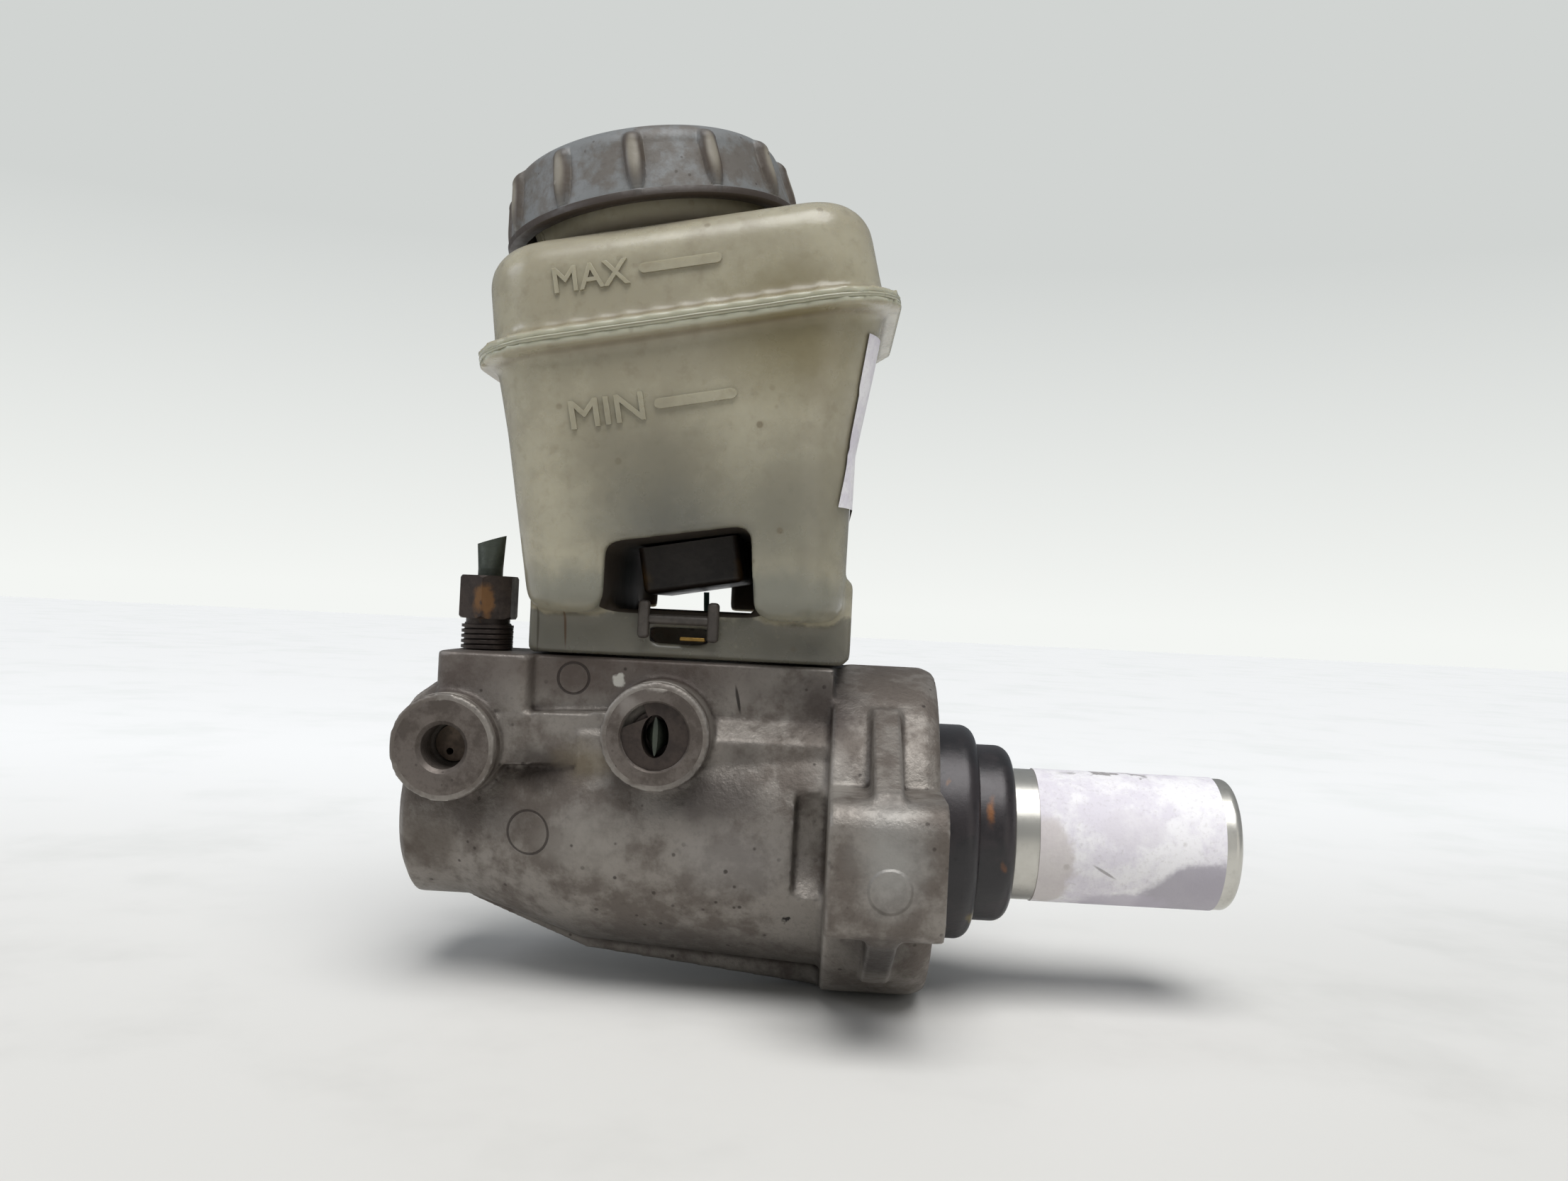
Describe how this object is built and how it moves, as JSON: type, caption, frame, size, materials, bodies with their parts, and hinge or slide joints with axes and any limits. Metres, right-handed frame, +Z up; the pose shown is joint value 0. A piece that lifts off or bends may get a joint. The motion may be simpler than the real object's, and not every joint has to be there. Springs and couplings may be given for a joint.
{
  "type": "tandem brake master cylinder",
  "caption": "Tandem brake master cylinder: cast body with two-stud flange, guided push-rod plunger, tilted fluid reservoir with ribbed screw cap, level switch and cut pipe ends.",
  "frame": {"origin": "centre of the flange's mounting face, on the bore axis, midway between the two stud holes", "axes": "+X along the bore towards the push-rod end; +Z up, towards the reservoir; -Y towards the side with the two pipe bosses"},
  "size_m": [0.1598, 0.0964, 0.1647],
  "materials": {
    "cast_aluminium": "dull as-cast with grime",
    "brass_seat": "turned",
    "black_steel": "worn black with rust",
    "guide_plastic": "moulded",
    "seal_rubber": "matt",
    "spring_steel": "oiled",
    "plunger_metal": "satin",
    "reservoir_plastic": "yellowed translucent",
    "cap_plastic": "grimy grey",
    "float_plastic": "foamed",
    "magnet_ferrite": "sintered",
    "switch_plastic": "moulded, stained",
    "lead_sheath": "insulated",
    "nut_steel": "dull plated",
    "pipe_steel": "coated",
    "label_paper": "torn paper"
  },
  "bodies": {
    "housing": {"cylinder_body": "cast_aluminium", "flare_seats": "brass_seat", "guide_collar": "black_steel", "guide_bearing": "guide_plastic", "bearing_o_ring": "seal_rubber", "primary_cup": "seal_rubber", "separator_cup": "seal_rubber", "secondary_cup": "seal_rubber", "outer_seal": "seal_rubber", "circlip": "spring_steel", "primary_spring": "spring_steel", "secondary_spring": "spring_steel", "front_grommet": "seal_rubber", "rear_grommet": "seal_rubber", "reservoir_lower": "reservoir_plastic", "reservoir_upper": "reservoir_plastic", "strainer": "reservoir_plastic", "level_switch": "switch_plastic", "switch_latch": "switch_plastic", "switch_lead": "lead_sheath", "top_pipe_nut": "nut_steel", "broken_pipe_nut": "nut_steel", "top_pipe_stub": "pipe_steel", "rear_pipe_stub": "pipe_steel", "reservoir_label": "label_paper"},
    "primary_plunger": {"primary_piston": "plunger_metal", "plunger_label": "label_paper", "retainer_screw": "spring_steel"},
    "secondary_plunger": {"secondary_piston": "plunger_metal", "spring_retainer": "spring_steel"},
    "cap_carrier": {"cap_diaphragm": "seal_rubber"},
    "cap": {"filler_cap": "cap_plastic"},
    "float": {"level_float": "float_plastic", "float_magnet": "magnet_ferrite"}
  },
  "joints": [
    {"name": "primary_stroke", "type": "slide", "parent": "housing", "child": "primary_plunger", "axis": [-1, 0, 0], "range_m": [0, 0.028], "stiffness_N_per_m": 1500, "springref_m": -0.03, "deforming": ["primary_spring"]},
    {"name": "secondary_stroke", "type": "slide", "parent": "housing", "child": "secondary_plunger", "axis": [-1, 0, 0], "range_m": [0, 0.014], "stiffness_N_per_m": 1500, "springref_m": -0.03, "deforming": ["secondary_spring"]},
    {"name": "cap_lift", "type": "slide", "parent": "housing", "child": "cap_carrier", "axis": [-0.1822, 0, 0.9833], "range_m": [0, 0.006]},
    {"name": "cap_turn", "type": "hinge", "parent": "cap_carrier", "child": "cap", "pos_m": [-0.06066, 0, 0.12059], "axis": [-0.1822, 0, 0.9833], "range_deg": [0, 540]},
    {"name": "float_travel", "type": "slide", "parent": "housing", "child": "float", "axis": [-0.1822, 0, 0.9833], "range_m": [0, 0.02]}
  ],
  "couplings": [
    {"joint": "secondary_stroke", "follows": "primary_stroke", "ratio": 0.5},
    {"joint": "cap_turn", "follows": "cap_lift", "rad_per_m": 1570.8}
  ]
}
